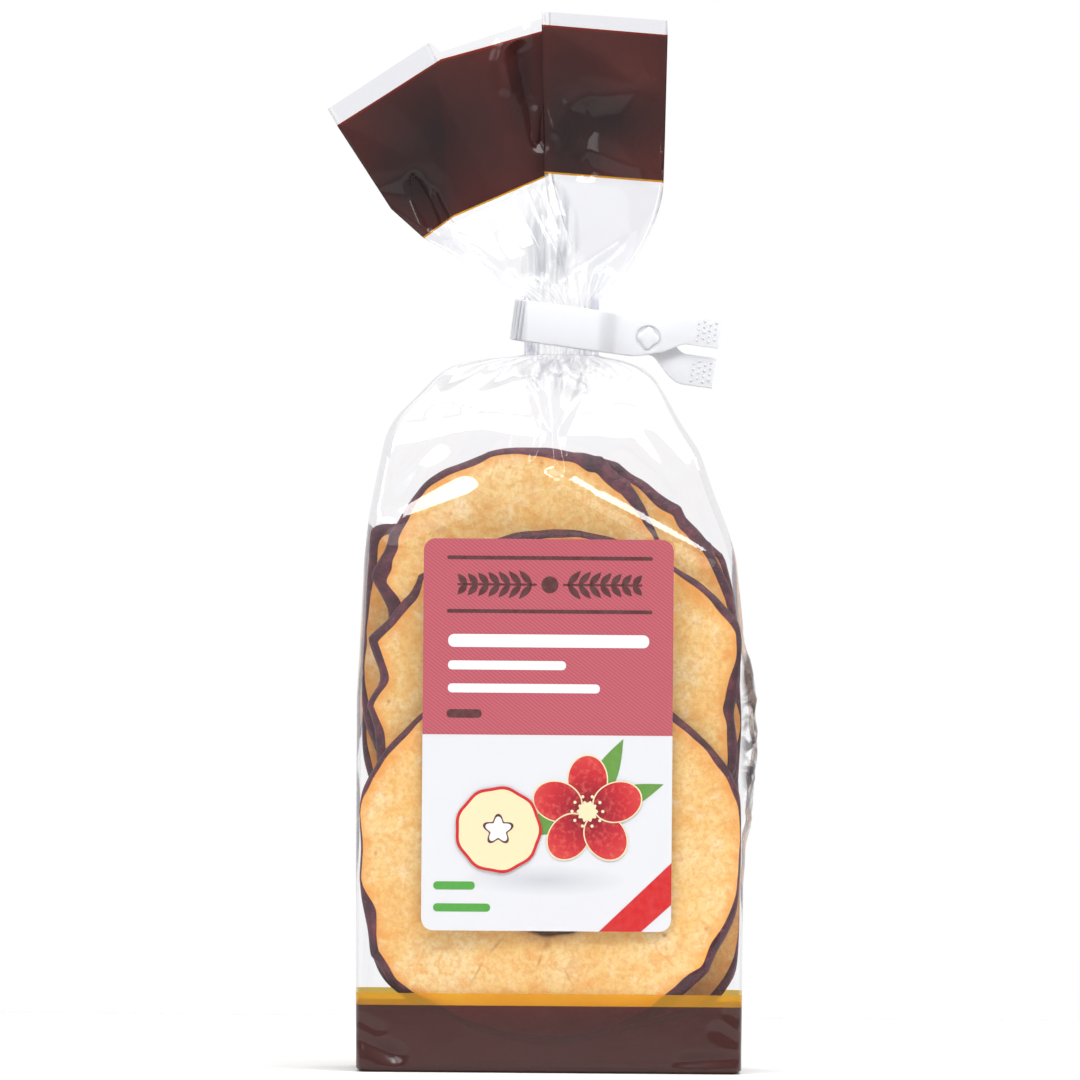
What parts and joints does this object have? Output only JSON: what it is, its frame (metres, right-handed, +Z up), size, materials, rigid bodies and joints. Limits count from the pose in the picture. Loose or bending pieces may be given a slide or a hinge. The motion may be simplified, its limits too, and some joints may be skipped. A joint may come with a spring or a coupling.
{
  "type": "clear bag of dried apple rings",
  "caption": "Clear block-bottom bag packed with dried apple rings, with printed bands, a front label and a plastic clip that closes its gathered neck.",
  "frame": {"origin": "middle of the bag's flat base, on the surface it stands on", "axes": "+Z up along the bag, -Y out of the label's face, +X to the right of the label"},
  "size_m": [0.0858, 0.0508, 0.2125],
  "materials": {
    "apple_flesh": "dry, leathery fruit flesh seen through clear film",
    "apple_peel": "dark red wrinkled peel",
    "clear_film": "clear glossy film",
    "printed_film": "glossy brown print on film",
    "gold_print": "glossy gold print on film",
    "label_paper": "smooth coated paper",
    "clip_plastic": "satin white polyethylene"
  },
  "bodies": {
    "root": {"bag": "apple_flesh", "label": "label_paper", "clip": "clip_plastic"}
  },
  "joints": []
}
